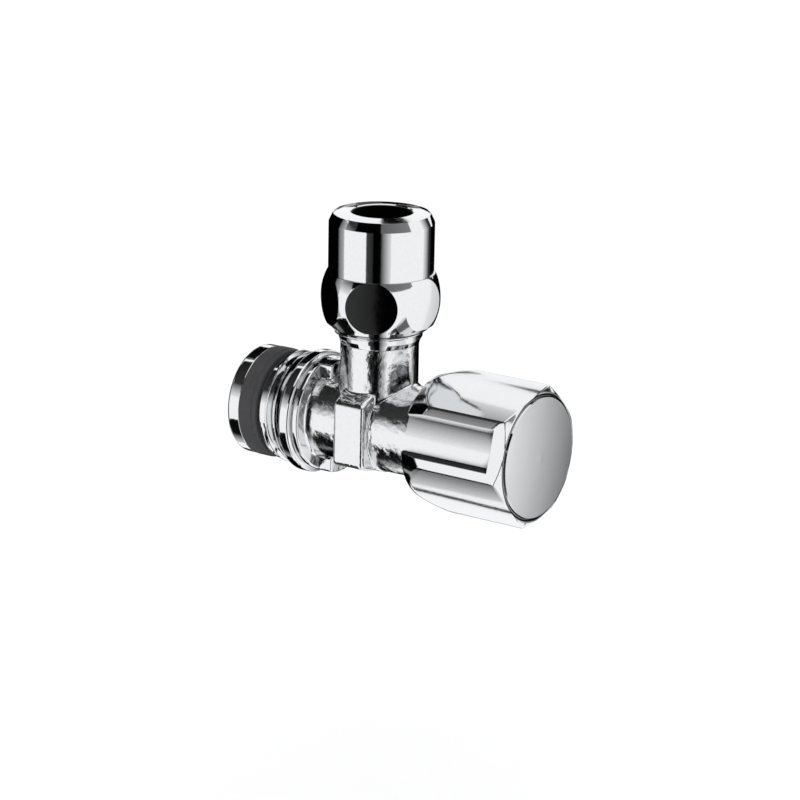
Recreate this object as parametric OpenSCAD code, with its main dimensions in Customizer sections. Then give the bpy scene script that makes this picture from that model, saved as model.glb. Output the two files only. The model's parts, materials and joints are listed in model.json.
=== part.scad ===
// Angle stop valve with a 1/2 inch self-sealing inlet and a 10 mm compression outlet.
// Millimetres, +Z up. The origin is on the inlet axis, at the wall side of the flange.
// +X runs out of the wall along the valve axis to the knob; the outlet points up.

/* [Inlet] */
// Crest radius of the inlet pipe thread (G 1/2 is 10.4775)
inlet_thread_r = 10.4775; // [10.2:0.0005:13.3]
// Pitch of the inlet thread, 14 to the inch
inlet_pitch = 1.814; // [1.4:0.001:2.4]
// Depth of the inlet thread's grooves
inlet_thread_depth = 1.16; // [0.6:0.01:1.4]
// Length from the flange to the inlet's free end
inlet_len = 12.5; // [10.5:0.1:16]
// Width of the plain metal collar at the inlet's free end
inlet_collar_w = 2.7; // [1.5:0.1:3.5]
// Width of the soft sealing band
seal_w = 3.8; // [2.5:0.1:4.6]
// Radial thickness of the sealing band
seal_t = 1.5; // [1:0.1:1.8]
// Radius of the inlet waterway
inlet_bore_r = 5; // [4:0.1:6]

/* [Flange] */
// How far the rounded flange bead stands out past the inlet thread
flange_over = 0.9225; // [0.7:0.0005:2.5]
// Width of the flange bead along the valve axis
flange_w = 2.4; // [1.6:0.1:3.4]
// Width of the stepped ring behind the bead
step_w = 1.5; // [0.8:0.1:2.4]
// How far the wrench lugs lie inside the flange's outer radius
lug_drop = 0.7; // [0.5:0.05:1]
// Length of the two wrench lugs along the valve axis
lug_len = 2.6; // [1.5:0.1:4]
// Width of a wrench lug
lug_w = 7; // [4:0.1:9]

/* [Body] */
// Outer radius of the body's two necks
neck_r = 8.3; // [8.1:0.05:9.2]
// Distance from the flange's wall side to the outlet axis
outlet_x = 14.5; // [14.1:0.1:18]
// Half the length of the middle block along the valve axis
block_half = 3.3; // [2.4:0.1:4.2]
// Distance of the block's side pads from the valve axis
pad_y = 9.8; // [9:0.1:11]
// Height of the pads' upper edge
pad_top = 5.45; // [4:0.05:6.4]
// Depth of the pads' lower edge
pad_low = 6; // [4:0.1:7]
// Length of the knob-side neck past the outlet axis
branch_len = 13.5; // [13.3:0.1:18]

/* [Outlet] */
// Height of the outlet's open end above the valve axis
outlet_top = 30; // [27:0.1:36]
// Outer radius of the outlet neck
outlet_neck_r = 7.15; // [6.6:0.05:7.3]
// Crest radius of the outlet pipe thread (G 3/8 is 8.331)
outlet_thread_r = 8.331; // [8.1:0.001:8.5]
// Pitch of the outlet thread, 19 to the inch
outlet_pitch = 1.337; // [1:0.001:1.8]
// Depth of the outlet thread's grooves
outlet_thread_depth = 0.856; // [0.5:0.001:0.9]
// Length of the outlet's turned thread, down from its open end
outlet_thread_len = 14; // [12:0.1:15]
// Radius of the pipe that the outlet takes
pipe_r = 5; // [4:0.05:5.2]
// Depth of the pipe socket
socket_depth = 10; // [6:0.1:12]
// Radius of the outlet waterway below the socket
outlet_bore_r = 3.8; // [2.6:0.1:3.9]

/* [Compression nut] */
// Nut size across flats
nut_af = 19.6; // [19.2:0.1:20.6]
// Radius of the ball that the hexagon's corners are turned to
nut_ball_r = 10.9; // [10.7:0.05:11.6]
// Outer radius of the nut's plain upper barrel
nut_barrel_r = 9.59; // [9.2:0.01:9.8]
// How far the nut's lower face lies below the outlet's open end
nut_cover = 11.4; // [10.8:0.1:12.5]
// How far the middle of the hexagon lies below the outlet's open end
nut_hex_drop = 6; // [5:0.1:6]
// Half the height of the hexagon
nut_hex_half = 4.67; // [4:0.01:5]
// How far the nut's top face lies above the outlet's open end
nut_rise = 9.72; // [8.6:0.01:16]
// Clearance between the pipe and the nut's top hole
nut_hole_gap = 0.4; // [0.3:0.05:0.8]
// Turn of the nut's flats from the valve axis
nut_turn = -4.7; // [-30:0.1:30]

/* [Headwork] */
// Crest radius of the bonnet's mounting thread
bonnet_thread_r = 7; // [6.6:0.05:7.2]
// Size of the bonnet's hexagon across flats
bonnet_af = 14; // [12:0.1:15]
// Radius of the bore that guides the plunger
guide_r = 4.96; // [4.6:0.02:5.1]
// Radius of the spindle's plain journal
journal_r = 3.2; // [3.05:0.05:3.4]
// Radius of the spindle's lifting thread
lift_r = 3; // [2.6:0.05:3.1]
// Pitch of the lifting thread
lift_pitch = 1; // [0.6:0.05:1.4]
// Number of spline teeth on the spindle
spline_count = 20; // [12:1:24]
// How far the plunger lifts from its seat
stroke = 3; // [2:0.1:3.4]
// Radius of the hole in the valve seat
seat_hole_r = 4.2; // [3:0.1:4.3]
// Thickness of the seat washer
washer_t = 2; // [1.4:0.1:2.4]

/* [Knob] */
// Radius of the knob at its corners
knob_r = 13.3; // [12.9:0.05:16]
// Distance of the three wide faces from the axis
knob_flat = 11.35; // [11.2:0.05:13]
// Distance of the three narrow sides' middle from the axis
knob_side = 12.4; // [12:0.05:14]
// Length of the knob along the axis, without its cap
knob_len = 21; // [20.8:0.1:25]
// Length of the knob's turned rear cone
knob_cone_len = 5.2; // [2:0.1:7]
// Radius of the knob's rear rim
knob_rim_r = 11.3; // [10.8:0.05:12.4]
// Width of the three grip recesses
recess_w = 8.1; // [5:0.1:9]
// Distance of the grip recesses' floor from the axis
recess_floor = 10.2; // [10:0.05:11]
// Radius of the knob's inner cavity
cavity_r = 9.2; // [8.8:0.05:9.5]
// Angle of the first grip recess, up from the side that faces -Y
recess_angle = 16; // [-60:1:60]
// Radius of the front cap
cap_r = 11.2; // [10.4:0.05:12.4]
// Thickness of the front cap at its edge
cap_t = 0.95; // [0.7:0.05:1.6]
// Rise of the front cap at its middle
cap_dome = 0.35; // [0.1:0.05:0.8]

/* [Fits] */
// Radial clearance of a running fit
running = 0.06; // [0.03:0.01:0.1]
// Clearance between pieces that are assembled and stay still
seated = 0.03; // [0.02:0.01:0.08]
// Radial clearance between the nut and the outlet thread's crests
nut_clear = 0.09; // [0.05:0.01:0.1]
// Free space between soft rings and the bores that they run in
ring_clear = 0.05; // [0.03:0.01:0.08]

/* [Hidden] */
$fn = 72;
eps = 0.01;
far = 60;

// Colours
chrome = [0.83, 0.84, 0.86];
brass = [0.78, 0.62, 0.33];
steel = [0.62, 0.63, 0.65];
rubber = [0.09, 0.09, 0.1];
seal_grey = [0.25, 0.25, 0.27];
white_plastic = [0.88, 0.87, 0.84];

// Places along the valve axis
inlet_end = -inlet_len;
seal_start = inlet_end + inlet_collar_w;
seal_end = seal_start + seal_w;
inlet_undercut = 0.5;
seal_r = inlet_thread_r - 0.2;
seal_edge = 0.15;
seal_groove_r = seal_r - seal_t;
collar_r = inlet_thread_r - 0.28;
collar_chamfer = 0.5;
flange_r = inlet_thread_r + flange_over;
flange_end = flange_w + step_w;
relief_r = inlet_thread_r + 0.1;
relief_depth = 0.3;
lug_r = flange_r - lug_drop;
lug_root = 0.5;
step_r = lug_r + 0.05;
bead_edge = 0.4;
neck_edge = 0.4;
block_start = outlet_x - block_half;
block_end = outlet_x + block_half;
branch_end = outlet_x + branch_len;
block_rise = 0.3;
slant_top = 1.9;
slant_low = 1.4;
foot_y = 0.56 * pad_y;

// Valve seat and chamber
chamber_r = seat_hole_r + 1.9;
seat_face = outlet_x - 3.5;
seat_lip = 0.6;
seat_lip_w = 0.8;
seat_floor = seat_face - seat_lip;
seat_wall = 2.4;
bonnet_start = outlet_x + 5;
branch_bore_r = bonnet_thread_r + seated;

// Outlet
socket_r = pipe_r + 0.08;
socket_floor = outlet_top - socket_depth;
outlet_thread_z = outlet_top - outlet_thread_len;
outlet_mouth_w = 1.8;
outlet_bore_start = seat_hole_r + 1;
nut_bore_r = outlet_thread_r + nut_clear;

// Plunger, closed on its seat with a small gap
washer_gap = 0.05;
washer_start = seat_face + washer_gap;
washer_r = seat_hole_r + 0.8;
cup_r = chamber_r - 0.4;
cup_depth = 1;
cup_floor = washer_start + washer_t;
cup_end = cup_floor + 1.6;
plunger_r = guide_r - running;
plunger_end = outlet_x + 11;
plunger_ring_x = outlet_x + 6.9;
plunger_groove_w = 1.4;
plunger_groove_r = plunger_r - 0.9;
plunger_bore_start = cup_floor + 2.6;
lift_depth = 0.55 * lift_pitch;
lift_bore_r = lift_r + 0.08;
key_w = 2;
key_gap = 0.08;
key_r = guide_r + 0.74;
key_start = outlet_x + 8.3;
screw_core_r = 1.45;
screw_head_r = 2.6;
screw_head_t = 1.05;
slot_w = 0.7;
slot_depth = 0.5;

// Bonnet and spindle
bonnet_gap = 0.3;
bonnet_hex_start = branch_end + bonnet_gap;
bonnet_hex_end = bonnet_hex_start + 3.5;
bonnet_hex_edge = 0.6;
bonnet_groove_start = bonnet_hex_start - 2.2;
bonnet_groove_w = 1.4;
bonnet_groove_r = bonnet_thread_r - 1.1;
bonnet_root_r = bonnet_thread_r - 0.5;
bonnet_pitch = 1;
bonnet_neck_r = 4.9;
bonnet_neck_end = bonnet_hex_end + 4.3;
guide_end = bonnet_hex_start + 2.3;
key_groove_end = guide_end - 1.8;
journal_bore_r = journal_r + running;
slide_washer_t = 0.3;
spindle_collar_r = guide_r - 0.16;
spindle_collar_t = 0.9;
spindle_collar_end = guide_end - slide_washer_t - 2 * seated;
spindle_start = plunger_bore_start + stroke + 0.4;
ring_groove_w = 1.6;
ring_groove_r = journal_r - 0.95;
lower_ring_x = bonnet_hex_start + 3.7;
upper_ring_x = lower_ring_x + 2.4;
clip_w = 0.5;
clip_x = bonnet_neck_end + 0.1;
clip_groove_r = journal_r - 0.7;
clip_r = bonnet_neck_r - 0.3;
clip_mouth = clip_groove_r + 0.7;
spline_start = clip_x + clip_w + 0.5;
spline_len = 6.2;
spindle_edge = 0.4;
spindle_end = spline_start + spline_len;
spline_depth = 0.35;
knob_screw_r = 1.7;
knob_screw_len = 7.5;

// Knob
knob_start = branch_end - 0.7;
knob_end = knob_start + knob_len;
knob_bevel = 1.1;
knob_bevel_r = 1.6;
web_t = 1.6;
web_start = spindle_end + 0.6;
web_end = web_start + web_t;
insert_r = journal_r + 1.7;
hub_r = insert_r + 1.5;
insert_start = spline_start + 0.4;
insert_end = web_start - seated;
insert_rib_w = 1.2;
insert_rib_h = 0.5;
front_recess_r = cavity_r - 0.1;
recess_len = knob_len - 2.8;
side_bulge_r = 33;
lock_washer_t = 0.3;
lock_washer_r = 3.7;
pan_head_r = 3.6;
pan_head_t = 2;
cross_l = 3.8;
cross_depth = 1.2;
cap_start = knob_end + 0.1;
cap_end = cap_start + cap_t;
cap_skirt_r = front_recess_r - 0.1;
cap_skirt_t = 0.9;
cap_skirt_len = 1.9;
skirt_gap_w = 4;

// Compression set
nut_low = outlet_top - nut_cover;
nut_hex_z = outlet_top - nut_hex_drop;
nut_top = outlet_top + nut_rise;
nut_hole_r = pipe_r + nut_hole_gap;
nut_edge = 0.4;
nut_chamfer_h = 1.87;
nut_chamfer_w = 0.87;
slip_washer_t = 0.9;
slip_washer_r = pipe_r + 2.3;
slip_hole_r = pipe_r + 0.2;
clamp_hole_r = pipe_r + 0.15;
clamp_r = pipe_r + 1.9;
clamp_end_r = pipe_r + 0.9;
clamp_z = outlet_top - 0.7;
clamp_len = 5;
clamp_cone = 1.7;
ring_gap = 0.1;
slip_z = clamp_z + clamp_len + ring_gap;
nut_shoulder = slip_z + slip_washer_t + ring_gap;
nut_chamber_r = slip_washer_r + 0.3;
nut_chamber_z = outlet_top + 0.6;

// A solid of revolution about the valve axis; points are [radius, x]
module lathe_x(points) {
    rotate([0, 90, 0])
        rotate_extrude()
            polygon(points);
}

// A solid of revolution about the outlet axis; points are [radius, z]
module lathe_z(points) {
    translate([outlet_x, 0, 0])
        rotate_extrude()
            polygon(points);
}

// A cylinder along the valve axis between two stations
module bar_x(r, x0, x1) {
    translate([x0, 0, 0])
        rotate([0, 90, 0])
            cylinder(r = r, h = x1 - x0);
}

// A hexagonal bar along the valve axis, given across its flats
module hex_x(af, x0, x1) {
    translate([x0, 0, 0])
        rotate([0, 90, 0])
            cylinder(r = af / 2 / cos(30), h = x1 - x0, $fn = 6);
}

// Turns what is made on the -Y side up round the valve axis
module at_angle(angle) {
    rotate([-angle, 0, 0])
        children();
}

// A soft ring of round section about the valve axis, filling the space from r0 to r1
module ring_x(r0, r1, x) {
    translate([x, 0, 0])
        rotate([0, 90, 0])
            rotate_extrude()
                translate([(r0 + r1) / 2, 0])
                    circle(r = (r1 - r0) / 2, $fn = 32);
}

// The outline of a row of thread ridges from a to b, as [radius, place] points
function ridges(crest, depth, pitch, a, b) = [
    for (i = [0 : floor((b - a) / pitch) - 1])
        for (p = [[0, 0.1], [1, 0.38], [1, 0.62], [0, 0.9]])
            [crest - depth * (1 - p[0]), a + (i + p[1]) * pitch]
];

// Body: a cast brass elbow with both threads, the middle block and the wrench lugs
module body_outside() {
    lathe_x(concat(
        [
            [0, inlet_end], [collar_r - collar_chamfer, inlet_end], [collar_r, inlet_end + collar_chamfer],
            [collar_r, seal_start], [seal_groove_r, seal_start], [seal_groove_r, seal_end],
            [inlet_thread_r - inlet_thread_depth, seal_end]
        ],
        ridges(inlet_thread_r, inlet_thread_depth, inlet_pitch, seal_end, -inlet_undercut),
        [
            [inlet_thread_r - inlet_thread_depth, -inlet_undercut],
            [inlet_thread_r - inlet_thread_depth, relief_depth], [relief_r, relief_depth], [relief_r, 0],
            [flange_r - bead_edge, 0], [flange_r, bead_edge], [flange_r, flange_w - 1.5 * bead_edge],
            [flange_r - bead_edge, flange_w], [step_r, flange_w],
            [step_r, flange_end - bead_edge], [step_r - bead_edge, flange_end],
            [neck_r + neck_edge, flange_end], [neck_r, flange_end + neck_edge],
            [neck_r, branch_end - neck_edge], [neck_r - neck_edge, branch_end], [0, branch_end]
        ]
    ));
    intersection() {
        bar_x(lug_r, flange_end - lug_root, flange_end + lug_len);
        translate([flange_end - lug_root, -lug_w / 2, -far / 2])
            cube([lug_len + lug_root, lug_w, far]);
    }
    middle_block();
    lathe_z(concat(
        [[0, 0], [outlet_neck_r, 0], [outlet_neck_r, outlet_thread_z - 0.4]],
        [[outlet_thread_r - outlet_thread_depth, outlet_thread_z]],
        ridges(outlet_thread_r, outlet_thread_depth, outlet_pitch, outlet_thread_z, outlet_top - 0.3),
        [[outlet_thread_r - outlet_thread_depth, outlet_top], [0, outlet_top]]
    ));
}

// The short block between the necks, with a flat pad on each side
module middle_block() {
    bar_x(neck_r + block_rise, block_start, block_end);
    translate([block_start, 0, 0])
        rotate([90, 0, 90])
            linear_extrude(2 * block_half)
                polygon([
                    [-pad_y, -pad_low], [-pad_y, pad_top], [-outlet_neck_r, pad_top + slant_top],
                    [outlet_neck_r, pad_top + slant_top], [pad_y, pad_top], [pad_y, -pad_low],
                    [foot_y, -pad_low - slant_low], [-foot_y, -pad_low - slant_low]
                ]);
}

// Waterways: inlet bore, seat, chamber, bonnet bore, outlet bore and pipe socket
module waterways() {
    lathe_x([
        [0, inlet_end - eps], [inlet_bore_r + 0.5, inlet_end - eps], [inlet_bore_r, inlet_end + 0.5],
        [inlet_bore_r, seat_floor - seat_wall], [seat_hole_r, seat_floor - seat_wall],
        [seat_hole_r, seat_face], [seat_hole_r + seat_lip_w, seat_face],
        [seat_hole_r + seat_lip_w, seat_floor],
        [chamber_r, seat_floor], [chamber_r, bonnet_start], [branch_bore_r, bonnet_start],
        [branch_bore_r, branch_end + eps], [0, branch_end + eps]
    ]);
    translate([outlet_x, 0, outlet_bore_start])
        cylinder(r = outlet_bore_r, h = socket_floor - outlet_bore_start + eps);
    translate([outlet_x, 0, socket_floor])
        cylinder(r = socket_r, h = socket_depth + eps);
    translate([outlet_x, 0, outlet_top - outlet_mouth_w])
        cylinder(r1 = socket_r, r2 = socket_r + outlet_mouth_w, h = outlet_mouth_w + eps);
}

module valve_body() {
    color(chrome)
        difference() {
            body_outside();
            waterways();
        }
}

// Soft band that seals the inlet thread in the wall fitting
module inlet_seal_ring() {
    color(seal_grey)
        lathe_x([
            [seal_groove_r + seated, seal_start + seated], [seal_r - seal_edge, seal_start + seated],
            [seal_r, seal_start + 2 * seal_edge], [seal_r, seal_end - 2 * seal_edge],
            [seal_r - seal_edge, seal_end - seated],
            [seal_groove_r + seated, seal_end - seated]
        ]);
}

// Bonnet: screws into the knob-side neck and carries the spindle and the plunger
module bonnet() {
    color(brass)
        difference() {
            union() {
                lathe_x(concat(
                    [[0, bonnet_start + seated], [bonnet_root_r, bonnet_start + seated]],
                    ridges(bonnet_thread_r, bonnet_thread_r - bonnet_root_r, bonnet_pitch,
                        bonnet_start + 0.3, bonnet_groove_start - 0.2),
                    [
                        [bonnet_root_r, bonnet_groove_start], [bonnet_groove_r, bonnet_groove_start],
                        [bonnet_groove_r, bonnet_groove_start + bonnet_groove_w],
                        [bonnet_thread_r, bonnet_groove_start + bonnet_groove_w],
                        [bonnet_thread_r, bonnet_hex_start + eps], [0, bonnet_hex_start + eps]
                    ]
                ));
                intersection() {
                    hex_x(bonnet_af, bonnet_hex_start, bonnet_hex_end);
                    lathe_x([
                        [0, bonnet_hex_start], [bonnet_af / 2, bonnet_hex_start],
                        [bonnet_af / 2 + 2 * bonnet_hex_edge, bonnet_hex_start + bonnet_hex_edge],
                        [bonnet_af / 2 + 2 * bonnet_hex_edge, bonnet_hex_end - bonnet_hex_edge],
                        [bonnet_af / 2, bonnet_hex_end], [0, bonnet_hex_end]
                    ]);
                }
                bar_x(bonnet_neck_r, bonnet_hex_end - eps, bonnet_neck_end);
            }
            bar_x(guide_r, bonnet_start - eps, guide_end);
            bar_x(journal_bore_r, guide_end - eps, bonnet_neck_end + eps);
            key_bars(key_r + key_gap, key_w + 2 * key_gap, bonnet_start - eps, key_groove_end);
        }
}

// A pair of opposite key ribs about the valve axis, above and below it
module key_bars(r, w, x0, x1) {
    intersection() {
        bar_x(r, x0, x1);
        translate([x0, -w / 2, -far / 2])
            cube([x1 - x0, w, far]);
    }
}

module bonnet_oring() {
    color(rubber)
        ring_x(bonnet_groove_r + seated, branch_bore_r - seated, bonnet_groove_start + bonnet_groove_w / 2);
}

// Spindle: turns without rising, lifts the plunger on its thread and carries the knob
module spindle() {
    collar_start = spindle_collar_end - spindle_collar_t;
    half = ring_groove_w / 2;
    color(brass)
        difference() {
            lathe_x(concat(
                [[0, spindle_start], [lift_r - lift_depth, spindle_start]],
                ridges(lift_r, lift_depth, lift_pitch, spindle_start, collar_start - 0.3),
                [
                    [lift_r - lift_depth, collar_start], [spindle_collar_r, collar_start],
                    [spindle_collar_r, spindle_collar_end], [journal_r, spindle_collar_end],
                    [journal_r, lower_ring_x - half], [ring_groove_r, lower_ring_x - half],
                    [ring_groove_r, lower_ring_x + half], [journal_r, lower_ring_x + half],
                    [journal_r, upper_ring_x - half], [ring_groove_r, upper_ring_x - half],
                    [ring_groove_r, upper_ring_x + half], [journal_r, upper_ring_x + half],
                    [journal_r, clip_x - seated], [clip_groove_r, clip_x - seated],
                    [clip_groove_r, clip_x + clip_w + seated], [journal_r, clip_x + clip_w + seated],
                    [journal_r, spindle_end - spindle_edge], [journal_r - spindle_edge, spindle_end],
                    [0, spindle_end]
                ]
            ));
            spline_gaps();
            bar_x(knob_screw_r + seated, spindle_end - knob_screw_len, spindle_end + eps);
        }
}

// The gaps between the spindle's spline teeth
module spline_gaps() {
    gap_w = PI * journal_r / spline_count;
    for (i = [0 : spline_count - 1])
        at_angle(i * 360 / spline_count)
            translate([spline_start, -journal_r - 1, -gap_w / 2])
                cube([spline_len + 1, 1 + spline_depth, gap_w]);
}

module lower_spindle_oring() {
    color(rubber)
        ring_x(ring_groove_r + seated, journal_bore_r - ring_clear, lower_ring_x);
}

module upper_spindle_oring() {
    color(rubber)
        ring_x(ring_groove_r + seated, journal_bore_r - ring_clear, upper_ring_x);
}

// Low-friction washer between the spindle's collar and the bonnet's shoulder
module slide_washer() {
    washer_x = spindle_collar_end + seated;
    color(white_plastic)
        difference() {
            bar_x(spindle_collar_r, washer_x, washer_x + slide_washer_t);
            bar_x(journal_r + seated, spindle_collar_end, guide_end);
        }
}

// Open spring clip that holds the spindle in the bonnet
module retaining_ring() {
    color(steel)
        difference() {
            bar_x(clip_r, clip_x, clip_x + clip_w);
            bar_x(clip_groove_r + seated, clip_x - eps, clip_x + clip_w + eps);
            translate([clip_x - eps, -clip_mouth / 2, -far / 2])
                cube([clip_w + 2 * eps, clip_mouth, far / 2]);
        }
}

// Plunger: slides in the bonnet without turning and presses the seat washer on the seat
module plunger() {
    cup_front = cup_floor - cup_depth;
    groove_start = plunger_ring_x - plunger_groove_w / 2;
    groove_end = plunger_ring_x + plunger_groove_w / 2;
    color(brass)
        difference() {
            union() {
                lathe_x([
                    [0, cup_floor], [washer_r + seated, cup_floor], [washer_r + seated, cup_front],
                    [cup_r - 0.2, cup_front], [cup_r, cup_front + 0.2], [cup_r, cup_end],
                    [plunger_r, cup_end + 0.5], [plunger_r, groove_start],
                    [plunger_groove_r, groove_start], [plunger_groove_r, groove_end],
                    [plunger_r, groove_end], [plunger_r, plunger_end], [0, plunger_end]
                ]);
                key_bars(key_r, key_w, key_start, plunger_end);
            }
            bar_x(lift_bore_r, plunger_bore_start, plunger_end + eps);
            bar_x(screw_core_r + seated, cup_floor - eps, plunger_bore_start + eps);
        }
}

module plunger_oring() {
    color(rubber)
        ring_x(plunger_groove_r + seated, guide_r - ring_clear, plunger_ring_x);
}

module seat_washer() {
    color(rubber)
        difference() {
            bar_x(washer_r, washer_start, cup_floor - seated);
            bar_x(screw_core_r + seated, washer_start - eps, cup_floor);
        }
}

// Screw that holds the seat washer in the plunger's cup
module seat_screw() {
    head_start = washer_start - seated - screw_head_t;
    color(brass)
        difference() {
            lathe_x([
                [0, head_start], [screw_head_r - 0.4, head_start], [screw_head_r, head_start + 0.4],
                [screw_head_r, washer_start - seated], [screw_core_r, washer_start - seated],
                [screw_core_r, plunger_bore_start - 0.2], [0, plunger_bore_start - 0.2]
            ]);
            translate([head_start - eps, -far / 2, -slot_w / 2])
                cube([slot_depth, far, slot_w]);
        }
}

// The knob's solid outline: three wide flat faces and three narrow, slightly round sides
module knob_blank() {
    difference() {
        intersection() {
            lathe_x([
                [0, knob_start], [knob_rim_r - 0.3, knob_start], [knob_rim_r, knob_start + 0.3],
                [knob_r, knob_start + knob_cone_len], [knob_r, knob_end - knob_bevel],
                [knob_r - knob_bevel_r, knob_end], [0, knob_end]
            ]);
            for_each_side(0)
                translate([0, side_bulge_r - knob_side, 0])
                    bar_x(side_bulge_r, knob_start - eps, knob_end + eps);
        }
        for (i = [0 : 2])
            at_angle(recess_angle + 60 + 120 * i)
                translate([knob_start - eps, -far - knob_flat, -far / 2])
                    cube([knob_len + 1, far, far]);
    }
}

// Keeps what all three copies of the children, one to each narrow side, have in common
module for_each_side(extra) {
    intersection() {
        at_angle(recess_angle + extra)
            children();
        at_angle(recess_angle + extra + 120)
            children();
        at_angle(recess_angle + extra + 240)
            children();
    }
}

module knob_shell() {
    color(chrome)
        difference() {
            knob_blank();
            for (i = [0 : 2])
                at_angle(recess_angle + 120 * i)
                    translate([knob_start - eps, -far - recess_floor, -recess_w / 2])
                        cube([recess_len, far, recess_w]);
            difference() {
                bar_x(cavity_r, knob_start - eps, web_start);
                bar_x(hub_r, insert_start, web_start + eps);
            }
            bar_x(front_recess_r, web_end, knob_end + eps);
            bar_x(insert_r + seated, insert_start - eps, web_start);
            insert_ribs(insert_rib_h + seated, insert_rib_w + 2 * seated, insert_start - eps, web_start);
            bar_x(knob_screw_r + 0.4, web_start - eps, web_end + eps);
        }
}

// Four ribs that key the insert in the knob's hub
module insert_ribs(h, w, x0, x1) {
    for (i = [0 : 3])
        at_angle(45 + 90 * i)
            translate([x0, -insert_r - h, -w / 2])
                cube([x1 - x0, h + 0.5, w]);
}

// Plastic insert, splined inside, that fits the knob to the spindle
module knob_insert() {
    color(white_plastic)
        difference() {
            union() {
                bar_x(insert_r, insert_start, insert_end);
                insert_ribs(insert_rib_h, insert_rib_w, insert_start, insert_end);
            }
            bar_x(journal_r + seated, insert_start - eps, insert_end + eps);
        }
}

// Cross-head screw from the knob's web into the spindle
module knob_screw() {
    tip = spindle_end - knob_screw_len + 1;
    head_start = web_end + lock_washer_t + 2 * seated;
    head_end = head_start + pan_head_t;
    color(steel)
        difference() {
            lathe_x([
                [0, tip], [knob_screw_r - 0.5, tip], [knob_screw_r, tip + 0.5], [knob_screw_r, head_start],
                [pan_head_r, head_start], [pan_head_r, head_end - 0.9], [pan_head_r - 1, head_end],
                [0, head_end]
            ]);
            for (turn = [0, 90])
                rotate([turn, 0, 0])
                    translate([head_end - cross_depth, -cross_l / 2, -slot_w / 2])
                        cube([cross_depth + eps, cross_l, slot_w]);
        }
}

module knob_lock_washer() {
    color(steel)
        difference() {
            bar_x(lock_washer_r, web_end + seated, web_end + seated + lock_washer_t);
            bar_x(knob_screw_r + 0.3, web_end, web_end + 1);
        }
}

// Domed front disc with a skirt that snaps into the knob
module knob_cap() {
    skirt_in_r = cap_skirt_r - cap_skirt_t;
    color(chrome)
        difference() {
            lathe_x([
                [0, cap_start], [skirt_in_r, cap_start], [skirt_in_r, cap_start - cap_skirt_len],
                [cap_skirt_r, cap_start - cap_skirt_len], [cap_skirt_r, cap_start],
                [cap_r - 0.15, cap_start], [cap_r, cap_start + 0.15],
                [cap_r, cap_end - 0.3], [cap_r - 0.3, cap_end], [0.66 * cap_r, cap_end + 0.56 * cap_dome],
                [0.33 * cap_r, cap_end + 0.89 * cap_dome], [0, cap_end + cap_dome]
            ]);
            for (i = [0 : 2])
                at_angle(recess_angle + 120 * i)
                    translate([cap_start - cap_skirt_len - 1, -far, -skirt_gap_w / 2])
                        cube([cap_skirt_len + 1 - eps, far, skirt_gap_w]);
        }
}

// Compression nut: hexagon turned to a ball, with a long plain barrel above it
module nut_outside() {
    hex_low = nut_hex_z - nut_hex_half;
    hex_high = nut_hex_z + nut_hex_half;
    difference() {
        intersection() {
            translate([outlet_x, 0, nut_hex_z])
                sphere(r = nut_ball_r);
            translate([outlet_x, 0, hex_low])
                cylinder(r = far / 2, h = hex_high - hex_low);
        }
        for (i = [0 : 5])
            translate([outlet_x, 0, 0])
                rotate([0, 0, nut_turn + 60 * i])
                    translate([nut_af / 2, -far / 2, 0])
                        cube([far, far, far]);
    }
    lathe_z([
        [0, nut_low], [nut_bore_r + 0.5, nut_low], [nut_bore_r + 0.8, hex_low],
        [nut_bore_r + 0.8, hex_high - 1], [nut_barrel_r, hex_high - 1],
        [nut_barrel_r, nut_top - nut_chamfer_h], [nut_barrel_r - nut_chamfer_w, nut_top], [0, nut_top]
    ]);
}

module compression_nut() {
    color(chrome)
        difference() {
            nut_outside();
            lathe_z([
                [0, nut_low - eps], [nut_bore_r + nut_edge, nut_low - eps], [nut_bore_r, nut_low + nut_edge],
                [nut_bore_r, nut_chamber_z], [nut_chamber_r, nut_chamber_z], [nut_chamber_r, nut_shoulder],
                [nut_hole_r, nut_shoulder], [nut_hole_r, nut_top - nut_edge],
                [nut_hole_r + nut_edge, nut_top + eps],
                [0, nut_top + eps]
            ]);
        }
}

// Brass ring that the nut squeezes onto the pipe
module clamp_ring() {
    color(brass)
        lathe_z([
            [clamp_hole_r, clamp_z], [clamp_end_r, clamp_z], [clamp_r, clamp_z + clamp_cone],
            [clamp_r, clamp_z + clamp_len - clamp_cone], [clamp_end_r, clamp_z + clamp_len],
            [clamp_hole_r, clamp_z + clamp_len]
        ]);
}

// Washer that lets the nut turn without turning the clamp ring
module slip_washer() {
    color(steel)
        lathe_z([
            [slip_hole_r, slip_z], [slip_washer_r, slip_z], [slip_washer_r, slip_z + slip_washer_t],
            [slip_hole_r, slip_z + slip_washer_t]
        ]);
}

valve_body();
inlet_seal_ring();
bonnet();
bonnet_oring();
spindle();
lower_spindle_oring();
upper_spindle_oring();
slide_washer();
retaining_ring();
plunger();
plunger_oring();
seat_washer();
seat_screw();
knob_shell();
knob_insert();
knob_screw();
knob_lock_washer();
knob_cap();
compression_nut();
clamp_ring();
slip_washer();
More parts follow.
